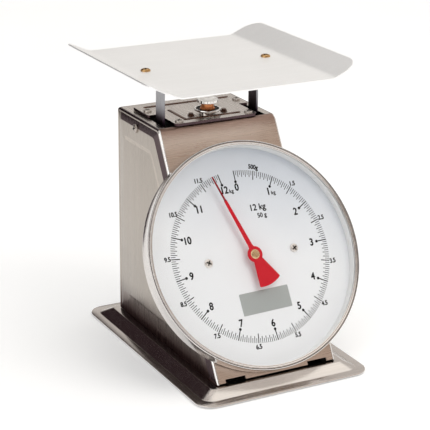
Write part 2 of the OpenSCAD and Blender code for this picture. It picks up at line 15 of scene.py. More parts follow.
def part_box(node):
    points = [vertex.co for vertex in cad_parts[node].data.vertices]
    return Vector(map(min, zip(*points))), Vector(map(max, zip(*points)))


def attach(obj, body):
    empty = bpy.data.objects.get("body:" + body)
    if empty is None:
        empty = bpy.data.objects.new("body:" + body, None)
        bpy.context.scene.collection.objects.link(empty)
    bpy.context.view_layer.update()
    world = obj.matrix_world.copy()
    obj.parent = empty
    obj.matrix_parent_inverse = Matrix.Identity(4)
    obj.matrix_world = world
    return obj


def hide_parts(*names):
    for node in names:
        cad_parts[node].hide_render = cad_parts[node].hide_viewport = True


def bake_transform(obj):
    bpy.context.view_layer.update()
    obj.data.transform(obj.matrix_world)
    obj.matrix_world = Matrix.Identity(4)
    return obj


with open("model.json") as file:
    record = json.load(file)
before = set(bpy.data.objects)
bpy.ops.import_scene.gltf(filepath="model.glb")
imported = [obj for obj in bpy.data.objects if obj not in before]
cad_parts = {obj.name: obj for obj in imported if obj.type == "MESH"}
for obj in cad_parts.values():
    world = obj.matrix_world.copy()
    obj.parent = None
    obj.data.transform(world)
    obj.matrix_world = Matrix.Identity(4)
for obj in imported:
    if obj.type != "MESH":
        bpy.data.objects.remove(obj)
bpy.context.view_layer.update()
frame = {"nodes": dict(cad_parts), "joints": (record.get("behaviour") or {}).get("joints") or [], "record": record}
nodes = frame["nodes"]

MM = 0.001
BASE_MID = sum(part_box("base_plate"), Vector()) / 2
TO_ROW = Matrix.Translation((0, BASE_MID.y, 0)) @ Matrix.Scale(MM, 4)
TO_DRAWING = TO_ROW.inverted()


def extent(node):
    """Lowest and highest corner of a CAD node, in drawing millimetres."""
    low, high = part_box(node)
    return TO_DRAWING @ low, TO_DRAWING @ high


def joint(name):
    return next(j for j in frame["joints"] if j["name"] == name)


# Dial frame: x to the right, y up the slope, z out of the face.
SPIN = joint("pointer_spin")
DIAL_MID = TO_DRAWING @ Vector(SPIN["pos_m"])
DIAL_OUT = -Vector(SPIN["axis"])
DIAL_UP = DIAL_OUT.cross(Vector((1, 0, 0)))
ON_DIAL = Matrix((
    (1, DIAL_UP.x, DIAL_OUT.x, DIAL_MID.x),
    (0, DIAL_UP.y, DIAL_OUT.y, DIAL_MID.y),
    (0, DIAL_UP.z, DIAL_OUT.z, DIAL_MID.z),
    (0, 0, 0, 1)))
TILT = math.atan2(DIAL_UP.y, DIAL_UP.z)

SHEET = 1.2
base_low, base_high = extent("base_plate")
BASE_W = base_high.x - base_low.x
BASE_D = base_high.y - base_low.y
PLATEAU_Z = base_high.z
FLANGE_Z = base_low.z
HALF_W = extent("front_panel")[1].x + SHEET + 0.05
TOP_Z = extent("rear_cover")[1].z
REAR_Y = extent("rear_cover")[1].y
COL_Y = extent("knob_neck")[0].y / 2 + extent("knob_neck")[1].y / 2
PLATE_Z = extent("hanger_plate_screws")[1].z - 2
TRAY_Z = 250.0
FLARE_X = 72.5
FLARE_BEND_R = 16.0
FLARE_ANGLE = math.radians(24.55)


def front_y(z):
    """Depth of the sloping front at height z."""
    return DIAL_MID.y + (z - DIAL_MID.z) * math.tan(TILT)


# ---- mesh helpers ----

def arc(cx, cy, r, start, stop, steps):
    """Points of a circular arc, angles in degrees."""
    angles = [math.radians(start + (stop - start) * i / steps) for i in range(steps + 1)]
    return [(cx + r * math.cos(a), cy + r * math.sin(a)) for a in angles]


def smoothstep(t):
    t = min(max(t, 0), 1)
    return t * t * (3 - 2 * t)


def lathe(bm, profile, steps, radius_at=None, mat=0):
    """Turns (radius, z) points about z. radius_at(k, angle) may change a point's radius."""
    columns = []
    for i in range(steps):
        angle = 2 * math.pi * i / steps
        column = []
        for k, (r, z) in enumerate(profile):
            if r == 0:
                column.append(columns[0][k] if columns else bm.verts.new((0, 0, z)))
                continue
            q = radius_at(k, angle) if radius_at else r
            column.append(bm.verts.new((q * math.cos(angle), q * math.sin(angle), z)))
        columns.append(column)
    for i in range(steps):
        a, b = columns[i], columns[(i + 1) % steps]
        for k in range(len(profile) - 1):
            corners = []
            for v in (a[k], b[k], b[k + 1], a[k + 1]):
                if v not in corners:
                    corners.append(v)
            if len(corners) > 2:
                bm.faces.new(corners).material_index = mat


def skin(bm, rings, closed=True, paint=None):
    """Quads between rings of equal length. paint(band, step) gives a material index."""
    rows = [[bm.verts.new(p) for p in ring] for ring in rings]
    count = len(rows[0])
    for k in range(len(rows) - 1):
        for i in range(count if closed else count - 1):
            j = (i + 1) % count
            face = bm.faces.new((rows[k][i], rows[k][j], rows[k + 1][j], rows[k + 1][i]))
            face.material_index = paint(k, i) if paint else 0
    return rows


def prism(bm, outline, z0, z1, mat=0):
    """Closed solid from a flat outline."""
    low = [bm.verts.new((x, y, z0)) for x, y in outline]
    high = [bm.verts.new((x, y, z1)) for x, y in outline]
    bm.faces.new(list(reversed(low))).material_index = mat
    bm.faces.new(high).material_index = mat
    for i in range(len(outline)):
        j = (i + 1) % len(outline)
        bm.faces.new((low[i], low[j], high[j], high[i])).material_index = mat


def rounded_outline(half_w, half_d, r, steps=10):
    """Rounded rectangle around the middle, anticlockwise."""
    points = []
    for cx, cy, start in ((1, -1, -90), (1, 1, 0), (-1, 1, 90), (-1, -1, 180)):
        points += arc(cx * (half_w - r), cy * (half_d - r), r, start, start + 90, steps)
    return points


def finish_piece(name, bm, materials, body, stands_for, place=None, sharp=35, bevel=0):
    """Makes the object of a finished drawing-space mesh and hangs it on the frame."""
    if place:
        bmesh.ops.transform(bm, matrix=place, verts=bm.verts)
    bmesh.ops.transform(bm, matrix=TO_ROW, verts=bm.verts)
    bmesh.ops.recalc_face_normals(bm, faces=bm.faces)
    for face in bm.faces:
        face.smooth = True
    limit = math.radians(sharp)
    for edge in bm.edges:
        edge.smooth = not (edge.is_manifold and edge.calc_face_angle(0) > limit)
    mesh = bpy.data.meshes.new(name)
    bm.to_mesh(mesh)
    bm.free()
    for material in materials:
        mesh.materials.append(material)
    piece = bpy.data.objects.new(name, mesh)
    bpy.context.scene.collection.objects.link(piece)
    if bevel:
        rounding = piece.modifiers.new("edges", "BEVEL")
        rounding.width = bevel * MM
        rounding.segments = 2
        rounding.limit_method = "ANGLE"
        rounding.angle_limit = math.radians(40)
        rounding.harden_normals = True
    if body:
        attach(piece, body)
        if stands_for:
            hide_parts(*stands_for)
    return piece


def cut(bm, cutters):
    """Takes closed cutter meshes away from a closed mesh, exactly."""
    scene = bpy.context.scene.collection
    objects = []
    for part in [bm] + cutters:
        bmesh.ops.recalc_face_normals(part, faces=part.faces)
        mesh = bpy.data.meshes.new("cut")
        part.to_mesh(mesh)
        objects.append(bpy.data.objects.new("cut", mesh))
        scene.objects.link(objects[-1])
    for cutter in objects[1:]:
        tool = objects[0].modifiers.new("cut", "BOOLEAN")
        tool.operation = "DIFFERENCE"
        tool.solver = "EXACT"
        tool.object = cutter
    bpy.context.view_layer.update()
    result = bpy.data.meshes.new_from_object(
        objects[0].evaluated_get(bpy.context.evaluated_depsgraph_get()))
    bm.clear()
    bm.from_mesh(result)
    for thing in objects:
        mesh = thing.data
        bpy.data.objects.remove(thing)
        bpy.data.meshes.remove(mesh)
    bpy.data.meshes.remove(result)


def copy_into(bm, part, matrix):
    """Adds a transformed copy of the mesh part to bm."""
    mesh = bpy.data.meshes.new("copy")
    part.to_mesh(mesh)
    mesh.transform(matrix)
    bm.from_mesh(mesh)
    bpy.data.meshes.remove(mesh)


# ---- materials ----

class Shader:
    """A Principled material and short ways to add the nodes that drive it."""

    def __init__(self, name, color, metallic=0.0, roughness=0.5):
        self.material = bpy.data.materials.new(name)
        self.material.use_nodes = True
        self.tree = self.material.node_tree
        self.bsdf = self.tree.nodes["Principled BSDF"]
        self.set("Base Color", (*color, 1))
        self.set("Metallic", metallic)
        self.set("Roughness", roughness)
        self.material.diffuse_color = (*color, 1)
        self.spot = None

    def set(self, socket, value):
        self.bsdf.inputs[socket].default_value = value

    def link(self, output, socket):
        self.tree.links.new(output, socket)

    def node(self, kind, **settings):
        node = self.tree.nodes.new(kind)
        for key, value in settings.items():
            setattr(node, key, value)
        return node

    def coordinates(self, scale, turn=(0, 0, 0)):
        if self.spot is None:
            self.spot = self.node("ShaderNodeTexCoord")
        mapping = self.node("ShaderNodeMapping")
        mapping.inputs["Scale"].default_value = scale
        mapping.inputs["Rotation"].default_value = turn
        self.link(self.spot.outputs["Object"], mapping.inputs["Vector"])
        return mapping.outputs["Vector"]

    def noise(self, scale, detail=3.0, turn=(0, 0, 0), rough=0.55):
        node = self.node("ShaderNodeTexNoise")
        node.inputs["Scale"].default_value = 1.0
        node.inputs["Detail"].default_value = detail
        node.inputs["Roughness"].default_value = rough
        self.link(self.coordinates(scale, turn), node.inputs["Vector"])
        return node.outputs["Fac"]

    def remap(self, value, low, high, start=0.35, stop=0.65):
        node = self.node("ShaderNodeMapRange")
        node.inputs["From Min"].default_value = start
        node.inputs["From Max"].default_value = stop
        node.inputs["To Min"].default_value = low
        node.inputs["To Max"].default_value = high
        self.link(value, node.inputs["Value"])
        return node.outputs["Result"]

    def blend(self, factor, a, b, mode="MIX"):
        """a and b are colours or output sockets."""
        node = self.node("ShaderNodeMix", data_type="RGBA", blend_type=mode)
        for value, socket in ((factor, 0), (a, 6), (b, 7)):
            if isinstance(value, (int, float)):
                node.inputs[socket].default_value = value
            elif isinstance(value, tuple):
                node.inputs[socket].default_value = (*value, 1)
            else:
                self.link(value, node.inputs[socket])
        return node.outputs[2]

    def darken(self, tone, low, high, factor):
        """Multiplies tone by the colour factor at height low, fading out up to height high."""
        split = self.node("ShaderNodeSeparateXYZ")
        self.link(self.coordinates((1, 1, 1)), split.inputs[0])
        fade = self.node("ShaderNodeMapRange", interpolation_type="SMOOTHSTEP")
        fade.inputs["From Min"].default_value = low * MM
        fade.inputs["From Max"].default_value = high * MM
        fade.inputs["To Min"].default_value = 1.0
        fade.inputs["To Max"].default_value = 0.0
        self.link(split.outputs["Z"], fade.inputs["Value"])
        dark = self.blend(1.0, tone, factor, "MULTIPLY")
        return self.blend(fade.outputs["Result"], tone, dark)

    def bump(self, height, strength, distance):
        node = self.node("ShaderNodeBump")
        node.inputs["Strength"].default_value = strength
        node.inputs["Distance"].default_value = distance
        self.link(height, node.inputs["Height"])
        self.link(node.outputs["Normal"], self.bsdf.inputs["Normal"])


def scaled(color, k):
    return tuple(min(c * k, 1) for c in color)


def brushed(name, color, grain, rough=0.28, contrast=0.16, streaks=1500, bump=0.12,
            metallic=1.0, shade=None):
    """Brushed sheet steel. grain is the direction of the brush marks: "x", "y", "z" or "round".

    shade is (low z, high z, colour factor at height low): painted shade, strongest at height low and faded out by
    height high.
    """
    shader = Shader(name, color, metallic, rough)
    along = streaks / 70
    scale = {"x": (along, streaks, streaks), "y": (streaks, along, streaks),
             "z": (streaks, streaks, along), "round": (streaks / 3,) * 3}[grain]
    fine = shader.noise(scale, 2.0)
    cloudy = shader.noise((14, 14, 14), 3.0)
    worn = shader.noise(tuple(s / 9 for s in scale), 3.0)
    tone = shader.blend(shader.remap(fine, 0, 1), scaled(color, 1 - contrast),
                        scaled(color, 1 + contrast))
    tone = shader.blend(shader.remap(worn, 0, 0.5), tone, scaled(color, 1 - contrast * 1.3))
    tone = shader.blend(shader.remap(cloudy, 0, 0.35), tone, scaled(color, 1.08))
    if shade:
        tone = shader.darken(tone, *shade)
    shader.link(tone, shader.bsdf.inputs["Base Color"])
    shader.link(shader.remap(fine, rough * 0.78, rough * 1.3), shader.bsdf.inputs["Roughness"])
    shader.bump(fine, bump, 0.00004)
    return shader.material


def polished(name, color, rough=0.12, speck=0.12):
    """Plated or turned metal with faint smudges and small wear marks."""
    shader = Shader(name, color, 1.0, rough)
    smudge = shader.noise((220, 220, 220), 4.0)
    wear = shader.noise((1500, 1500, 1500), 2.0)
    tone = shader.blend(shader.remap(smudge, 0, 1), scaled(color, 1 - speck),
                        scaled(color, 1 + speck))
    shader.link(tone, shader.bsdf.inputs["Base Color"])
    shader.link(shader.remap(smudge, rough * 0.7, rough * 1.8), shader.bsdf.inputs["Roughness"])
    shader.bump(wear, 0.08, 0.00005)
    return shader.material


def lacquer(name, color, rough, shade, grain=900, bump=0.1):
    """Painted or moulded surface with a slight orange peel."""
    shader = Shader(name, color, 0.0, rough)
    shader.set("Specular IOR Level", 0.25)
    peel = shader.noise((grain, grain, grain), 2.0)
    cloudy = shader.noise((25, 25, 25), 3.0)
    tone = shader.blend(shader.remap(cloudy, 0, 1), color, scaled(color, shade))
    shader.link(tone, shader.bsdf.inputs["Base Color"])
    shader.link(shader.remap(peel, rough * 0.85, rough * 1.2), shader.bsdf.inputs["Roughness"])
    shader.bump(peel, bump, 0.00004)
    return shader.material


def enamel(name):
    """Dial face: white enamel, with painted shade that makes it cooler and a little darker towards the top right.
    """
    white, cool = (0.86, 0.88, 0.90), (0.60, 0.65, 0.72)
    shader = Shader(name, white, 0.0, 0.45)
    spot = shader.coordinates((1, 1, 1))
    gradient = shader.node("ShaderNodeVectorMath", operation="DOT_PRODUCT")
    shader.link(spot, gradient.inputs[0])
    gradient.inputs[1].default_value = (0.35, 0.45, 0.82)
    drift = shader.noise((16, 16, 16), 2.0)
    height = shader.node("ShaderNodeMath", operation="ADD")
    shader.link(gradient.outputs["Value"], height.inputs[0])
    shader.link(shader.remap(drift, -0.006, 0.006), height.inputs[1])
    tone = shader.blend(shader.remap(height.outputs[0], 0, 1, 0.06, 0.17), white, cool)
    specks = shader.noise((1400, 1400, 1400), 2.0)
    tone = shader.blend(shader.remap(specks, 0, 0.12, 0.45, 0.75), tone, (0.6, 0.6, 0.6))
    shader.link(tone, shader.bsdf.inputs["Base Color"])
    shader.link(shader.remap(specks, 0.38, 0.5), shader.bsdf.inputs["Roughness"])
    shader.bump(specks, 0.04, 0.00003)
    return shader.material


def clear_glass(name):
    """Thin flat glass: almost invisible, with a gloss that grows at shallow angles."""
    shader = Shader(name, (0.93, 0.96, 0.98), 1.0, 0.04)
    facing = shader.node("ShaderNodeFresnel")
    facing.inputs["IOR"].default_value = 1.4
    dust = shader.noise((60, 60, 60), 4.0)
    veil = shader.node("ShaderNodeMath", operation="MULTIPLY")
    shader.link(facing.outputs["Fac"], veil.inputs[0])
    shader.link(shader.remap(dust, 0.22, 0.36), veil.inputs[1])
    shader.link(veil.outputs[0], shader.bsdf.inputs["Alpha"])
    shader.link(shader.remap(dust, 0.02, 0.08), shader.bsdf.inputs["Roughness"])
    return shader.material


STEEL = (0.455, 0.412, 0.37)
WARM = (0.60, 0.49, 0.42)
MAT = {
    "base": brushed("base_steel", (0.62, 0.575, 0.54), "x", 0.2, 0.08, 1200, 0.05),
    # side: painted shade low on the side sheets, darkest at 9 mm and gone by 46 mm.
    "side": brushed("side_steel", STEEL, "z", 0.30, 0.08, 1500, 0.1, 1.0,
                    (9, 46, (0.16, 0.085, 0.085))),
    # lighter copy of the side steel: painted highlight on the bevel round the pressed field.
    "painted_field_highlight": brushed("field_highlight_steel", scaled(STEEL, 1.22), "z", 0.30, 0.06),
    # near-black: painted shade on the folded edges of the side sheets, on the top plate's side walls and in the
    # bezel groove.
    "edge": brushed("fold_painted_shade_steel", (0.085, 0.055, 0.06), "z", 0.25),
    # near-white: painted highlight on the rolled fold of the side sheets.
    "bright": brushed("fold_painted_highlight_steel", (0.90, 0.88, 0.86), "z", 0.22, 0.05),
    # dark brown: painted shade on the pressed beads of the top plate; paint_nodes gives the same colour to the
    # guide pins.
    "bead": brushed("pressed_bead_steel", (0.13, 0.07, 0.05), "y", 0.3, 0.2),
    # near-black: painted shade in the screw recesses and in the dish of the knob cup.
    "recess": lacquer("recess_painted_shade", (0.03, 0.024, 0.022), 0.5, 0.6),
    # front: painted shade towards the top of the front sheet, from 190 mm up to 203 mm.
    "front": brushed("front_steel", WARM, "x", 0.30, 0.035, 2200, 0.04, 1.0,
                     (203, 190, (0.50, 0.40, 0.37))),
    "top": brushed("top_steel", (0.58, 0.53, 0.49), "y", 0.25, 0.14),
    "rear": brushed("rear_steel", STEEL, "z", 0.30),
    "platform": brushed("platform_steel", (0.94, 0.945, 0.94), "x", 0.38, 0.03, 1500, 0.03,
                        0.55),
    # post: painted shade at the foot of each post, darkest at 204 mm and gone by 224 mm.
    "post": brushed("post_steel", (0.31, 0.31, 0.325), "z", 0.3, 0.12, 1500, 0.1, 1.0,
                    (204, 224, (0.10, 0.05, 0.09))),
    # near-black copy of the post steel: painted shade on the faces of the posts that turn towards the middle.
    "post_shaded_face": brushed("post_steel_painted_shade", (0.03, 0.018, 0.022), "z", 0.35, 0.2),
    "plated": brushed("plated_steel", (0.42, 0.42, 0.43), "round", 0.35, 0.1),
    "bezel": brushed("bezel_steel", (0.72, 0.69, 0.67), "round", 0.2, 0.06, 900, 0.04),
    # dark case: painted shade for the gap line between the bezel and the front sheet.
    "case": lacquer("case_gap_painted_shade", (0.11, 0.105, 0.10), 0.4, 0.8),
    "ring": lacquer("white_ring", (0.84, 0.84, 0.83), 0.4, 0.95),
    "screw": polished("screw_steel", (0.50, 0.45, 0.41), 0.25),
    "dial_screw": polished("dial_screw_steel", (0.86, 0.82, 0.78), 0.35),
    "brass": polished("brass", (0.72, 0.52, 0.30), 0.22),
    "brass_screw": polished("brass_screw", (0.55, 0.33, 0.14), 0.22),
    "copper": polished("red_brass", (0.52, 0.20, 0.08), 0.3, 0.25),
    "chrome": polished("knob_chrome", (0.74, 0.71, 0.68), 0.07, 0.1),
    "rubber": lacquer("black_rubber", (0.022, 0.021, 0.021), 0.75, 0.7, 1400, 0.3),
    "red": lacquer("pointer_red", (0.60, 0.004, 0.018), 0.5, 0.9),
    "red_dark": lacquer("pointer_tip_red", (0.28, 0.008, 0.018), 0.45, 0.88),
    "ink": lacquer("black_ink", (0.006, 0.006, 0.008), 0.6, 0.8),
    "label": lacquer("label_grey", (0.40, 0.425, 0.415), 0.55, 0.93),
    "dial": enamel("dial_enamel"),
    "glass": clear_glass("clear_glass"),
    "spring": polished("spring_steel", (0.42, 0.42, 0.44), 0.3),
}


# ---- base and housing ----

def base_ring(inset_w, inset_d, r, z):
    return [(x, y, z) for x, y in
            rounded_outline(BASE_W / 2 - inset_w, BASE_D / 2 - inset_d, r)]


def build_base():
    top, rim = PLATEAU_Z, FLANGE_Z
    under = [(19.5, 19.8, 4.2, top - 1.2), (18.8, 19.2, 4.6, top - 1.4),
             (8.9, 9.9, 9.0, rim + 0.15), (8.2, 9.1, 9.5, rim), (0.2, 0.2, 14.8, rim)]
    upper = [(0, 0, 15, rim + 0.4), (0.2, 0.2, 14.8, rim + 1.0), (0.6, 0.6, 14.4, rim + 1.2),
             (6.6, 7.7, 10.6, rim + 1.2), (7.3, 8.4, 10.2, rim + 1.35),
             (7.9, 9.0, 10, rim + 1.75), (17.2, 17.6, 5.6, top - 0.55),
             (17.8, 18.2, 5.2, top - 0.15), (18.6, 18.9, 4.8, top)]
    bm = bmesh.new()
    rows = skin(bm, [base_ring(*spec) for spec in under + upper])
    bm.faces.new(list(reversed(rows[0])))
    bm.faces.new(rows[-1])
    finish_piece("base", bm, [MAT["base"]], "housing", ["base_plate"], sharp=60)


def round_corners(corners, radii, steps):
    """Rounds the corners of a polygon. Gives (point, corner index, share)."""
    points = []
    count = len(corners)
    for k, corner in enumerate(corners):
        here = Vector(corner)
        back = (Vector(corners[k - 1]) - here).normalized()
        ahead = (Vector(corners[(k + 1) % count]) - here).normalized()
        half = back.angle(ahead) / 2
        middle = here + (back + ahead).normalized() * radii[k] / math.sin(half)
        start = here + back * radii[k] / math.tan(half) - middle
        stop = here + ahead * radii[k] / math.tan(half) - middle
        sweep = start.angle_signed(stop)
        for i in range(steps + 1):
            turned = start.copy()
            turned.rotate(Matrix.Rotation(-sweep * i / steps, 2))
            points.append((middle + turned, k, i / steps))
    return points


# Side sheet, per ring from the folded edge to the pressed field: (inset, x) at each side.
SIDE_FRONT = [(1.4, 55.4), (0.03, 56.0), (0.25, 56.9), (0.8, 57.4), (1.9, 57.7), (2.6, 57.7),
              (2.8, 57.1), (14.5, 57.74), (15.0, 57.8), (27.0, 57.8), (28.2, 58.0), (29.6, 58.3)]
SIDE_TOP = [(1.2, 54.2), (0.02, 55.5), (0.21, 56.4), (0.68, 56.91), (1.6, 57.2), (2.7, 57.2),
            (2.9, 56.2), (9.5, 57.72), (9.9, 57.8), (22.6, 57.8), (24.0, 58.0), (25.6, 58.3)]
SIDE_REAR = [(1.3, 56.6), (0.1, 56.75), (0, 57.1), (0.15, 57.4), (0.4, 57.7), (1.0, 57.8),
             (2.6, 57.8), (3.3, 57.5), (4.2, 57.8), (9.0, 57.8), (9.8, 58.0), (10.8, 58.3)]
SIDE_LOW = [(0.3, 56.6), (0.05, 56.8), (0, 57.1), (0.05, 57.4), (0.3, 57.7), (0.5, 57.8),
            (0.8, 57.8), (1.2, 57.8), (1.5, 57.8), (18.6, 57.8), (19.8, 58.0), (21.0, 58.3)]
SIDE_ROUND = [5.5, 5.5, 5.5, 5.4, 5.0, 4.8, 4.8, 6, 6, 9, 8, 7]
SIDE_STEPS = 6


def side_ring(k, behind=0.0):
    """Ring k of the right side sheet; behind sets it back for the inner skin."""
    front, top, rear, low = SIDE_FRONT[k], SIDE_TOP[k], SIDE_REAR[k], SIDE_LOW[k]
    z0 = PLATEAU_Z + 0.2 + low[0]
    z1 = TOP_Z - top[0]
    corners = [(front_y(z0) + front[0], z0), (front_y(z1) + front[0], z1),
               (REAR_Y - rear[0], z1), (REAR_Y - rear[0], z0)]
    small = min(SIDE_ROUND[k], 1.2 if k < 7 else 3.0 if k < 9 else 5.0)
    sides = [low[1], front[1], top[1], rear[1]]
    ring = []
    for spot, corner, share in round_corners(corners, [0.8, SIDE_ROUND[k], small, 0.8],
                                             SIDE_STEPS):
        x = sides[corner] + (sides[(corner + 1) % 4] - sides[corner]) * share
        ring.append((x - behind, spot.x, spot.y))
    return ring


def build_side(name, mirror):
    inner = [side_ring(k, 1.1) for k in range(11, 6, -1)]
    outer = [side_ring(k) for k in range(12)]
    looks = {5: 1, 6: 1, 9: 2, 10: 2}

    # Painted light on the front and top edges of the side sheet: the rolled fold is a painted highlight down the
    # front and painted shade along the top, the band inside the fold is painted shade, and the bevel round the
    # pressed field is a lighter painted highlight.
    def paint(k, i):
        k -= len(inner)
        if not SIDE_STEPS <= i < 2 * SIDE_STEPS + 2:
            return 0
        if k in (1, 2, 3):
            return 1 if i > SIDE_STEPS + 4 else 3
        return looks.get(k, 0)

    bm = bmesh.new()
    rows = skin(bm, inner + outer, paint=paint)
    bm.faces.new(rows[0])
    bm.faces.new(list(reversed(rows[-1])))
    place = Matrix.Scale(-1, 4, (1, 0, 0)) if mirror else None
    finish_piece(name, bm, [MAT["side"], MAT["edge"], MAT["painted_field_highlight"], MAT["bright"]],
                 "housing", [name + "_panel"],
                 place, sharp=28)


def sheet_grid(bm, rows, columns, skip=()):
    """Rows are (half width, point at x = 0); columns are x values, the ends taken from the row."""
    grid = []
    for half, spot in rows:
        xs = [-half] + [x for x in columns] + [half]
        grid.append([bm.verts.new((x, spot[0], spot[1])) for x in xs])
    for k in range(len(grid) - 1):
        for i in range(len(grid[0]) - 1):
            if (k, i) not in skip:
                bm.faces.new((grid[k][i], grid[k][i + 1], grid[k + 1][i + 1], grid[k + 1][i]))
    return grid


def thicken(bm, depth, towards):
    """Gives a sheet its thickness, on the side the vector points to."""
    bmesh.ops.recalc_face_normals(bm, faces=bm.faces)
    bm.normal_update()
    total = sum((f.normal * f.calc_area() for f in bm.faces), Vector())
    sign = -1 if total.dot(Vector(towards)) > 0 else 1
    bmesh.ops.solidify(bm, geom=bm.faces[:], thickness=sign * depth)


def build_front():
    r = 5.5
    bend_z = TOP_Z - r
    bend_y = front_y(bend_z) + r / math.cos(TILT)
    low = PLATEAU_Z + 1.9
    wide, slim = 55.9, 55.4
    rows = [(wide, (front_y(z), z)) for z in (low, low + 2.6, 40, 90, 140, 180)]
    steps = 8
    for i, (y, z) in enumerate(arc(bend_y, bend_z, r, 180 - math.degrees(TILT), 90, steps)):
        rows.append((wide + (slim - wide) * i / steps, (y, z - 0.02)))
    rows.append((slim, (16.9, TOP_Z - 0.02)))
    columns = [-49.5, -30.5, -10, 10, 30.5, 49.5]
    bm = bmesh.new()
    sheet_grid(bm, rows, columns, {(0, 1), (0, 5)})
    loose = [v for v in bm.verts if not v.link_faces]
    bmesh.ops.delete(bm, geom=loose, context="VERTS")
    thicken(bm, SHEET, (0, 1, -1))
    finish_piece("front_sheet", bm, [MAT["front"]], "housing", ["front_panel"],
                 sharp=50, bevel=0.35)


def build_top_cap():
    bm = bmesh.new()
    wide, gap = 55.4, 49.3
    outline = [(-wide, 17.6), (-gap, 17.6), (-gap, 68), (gap, 68), (gap, 17.6),
               (wide, 17.6), (wide, 94.6), (-wide, 94.6)]
    prism(bm, outline, TOP_Z - SHEET, TOP_Z - 0.05)
    finish_piece("top_sheet", bm, [MAT["top"]], "housing", ["top_cap"], bevel=0.3)


VENTS = [120, 128, 136, 144, 152]


def build_rear():
    bm = bmesh.new()
    levels = [PLATEAU_Z + 0.15]
    for z in VENTS:
        levels += [z, z + 3]
    rows = [(56.5, (REAR_Y - 0.03, z)) for z in levels]
    rows += [(56.5, (REAR_Y - 0.03, 192)), (55.9, (REAR_Y - 0.03, 201)),
             (55.2, (REAR_Y - 0.03, TOP_Z - 0.05))]
    slots = {(1 + 2 * k, 1) for k in range(len(VENTS))}
    sheet_grid(bm, rows, [-22, 22], slots)
    thicken(bm, SHEET, (0, -1, 0))
    for z in VENTS:
        lip = [(-22, 0), (22, 0), (21.2, 2.6), (-21.2, 2.6)]
        part = bmesh.new()
        prism(part, lip, 0, 0.8)
        lean = Matrix.Translation((0, REAR_Y - 1.3, z + 2.9)) @ Matrix.Rotation(-2.2, 4, "X")
        copy_into(bm, part, lean)
        part.free()
    finish_piece("rear_sheet", bm, [MAT["rear"]], "housing", ["rear_cover"],
                 bevel=0.3)


# ---- screws ----

def cross_head(r, h, turn, dome=0.45):
    """Round screw head with a cross recess, seat at z = 0."""
    profile = [(0, -3), (1.6, -3), (1.6, 0), (r, 0), (r, h * 0.35), (r * 0.93, h * 0.62),
               (r * 0.72, h * 0.86), (r * dome, h * 0.97), (0, h)]
    bm = bmesh.new()
    lathe(bm, profile, 32)
    cutters = []
    for k in range(2):
        part = bmesh.new()
        w, t = r * 0.62, r * 0.16
        prism(part, [(-w, -t), (w, -t), (w, t), (-w, t)], h * 0.35, h * 1.4)
        bmesh.ops.rotate(part, matrix=Matrix.Rotation(turn + math.pi / 2 * k, 3, "Z"),
                         verts=part.verts)
        cutters.append(part)
    cut(bm, cutters)
    # The floor and walls of the cross recess take the near-black recess material: painted shade.
    for face in bm.faces:
        middle = face.calc_center_median()
        inside = math.hypot(middle.x, middle.y) < r * 0.66
        face.material_index = int(inside and h * 0.3 < middle.z < h * 0.8)
    for part in cutters:
        part.free()
    return bm


def build_screws(name, node, body, material, r, h, places):
    """places are (matrix, turn) pairs."""
    bm = bmesh.new()
    for place, turn in places:
        head = cross_head(r, h, turn)
        copy_into(bm, head, place)
        head.free()
    finish_piece(name, bm, [material, MAT["recess"]], body, [node], sharp=30)


def at(x, y, z):
    return Matrix.Translation((x, y, z))


def mirrored_spots(node):
    """x, y and z of the right-hand screw of a pair."""
    low, high = extent(node)
    return high.x, (low.y + high.y) / 2, (low.z + high.z) / 2


def build_all_screws():
    _, y, z = mirrored_spots("side_screws")
    quarter = math.pi / 2
    sides = [(at(s * HALF_W, y, z) @ Matrix.Rotation(s * quarter, 4, "Y"), 0.4)
             for s in (-1, 1)]
    build_screws("side_fixings", "side_screws", "housing", MAT["screw"],
                 4, 2.1, sides)
    plate = [(at(px, py, PLATE_Z), px * 0.02) for px, py in
             ((-44.7, 61.5), (44.7, 61.5), (-34.2, 20.5), (34.2, 20.5))]
    build_screws("plate_fixings", "hanger_plate_screws", "housing",
                 MAT["screw"], 3.7, 1.95, plate)
    rear = [(at(px, REAR_Y, pz) @ Matrix.Rotation(-quarter, 4, "X"), px * 0.03)
            for px in (-43, 43) for pz in (30, 186)]
    build_screws("rear_fixings", "rear_cover_screws", "housing", MAT["screw"],
                 3.6, 1.95, rear)
    dial = [(ON_DIAL @ at(s * 42, 0, 3.7), 0.5 * s) for s in (-1, 1)]
    build_screws("dial_fixings", "dial_screws", "housing", MAT["dial_screw"],
                 3.9, 1.75, dial)
    tray = [(at(s * 59, COL_Y + 2, TRAY_Z), 0.5 * s) for s in (-1, 1)]
    build_screws("platform_fixings", "platform_screws", "platform",
                 MAT["brass_screw"], 4.3, 2.15, tray)


# ---- hanger plate and zero knob ----

def build_plate():
    corners = [(-37.7, 14.4), (37.7, 14.4), (40.3, 17), (40.3, 49), (50, 49), (50, 80.4),
               (-50, 80.4), (-50, 49), (-40.3, 49), (-40.3, 17)]
    radii = [1, 1, 1, 0.8, 2, 2, 2, 2, 0.8, 1]
    outline = [tuple(p) for p, _, _ in round_corners(corners, radii, 3)]
    bm = bmesh.new()
    prism(bm, outline, PLATE_Z - 2.5, PLATE_Z)
    bm.normal_update()
    # The plate's side walls take the near-black edge material: painted shadow under the rim of the plate.
    for face in bm.faces:
        face.material_index = int(abs(face.normal.z) < 0.5)
    for a, b in (((-26, 24), (-26, 56)), ((-26, 24), (26.5, 24)), ((-41, 74), (41, 74))):
        bead(bm, a, b)
    finish_piece("top_plate", bm, [MAT["top"], MAT["edge"], MAT["bead"]], "housing",
                 ["hanger_plate"], sharp=50, bevel=0.55)


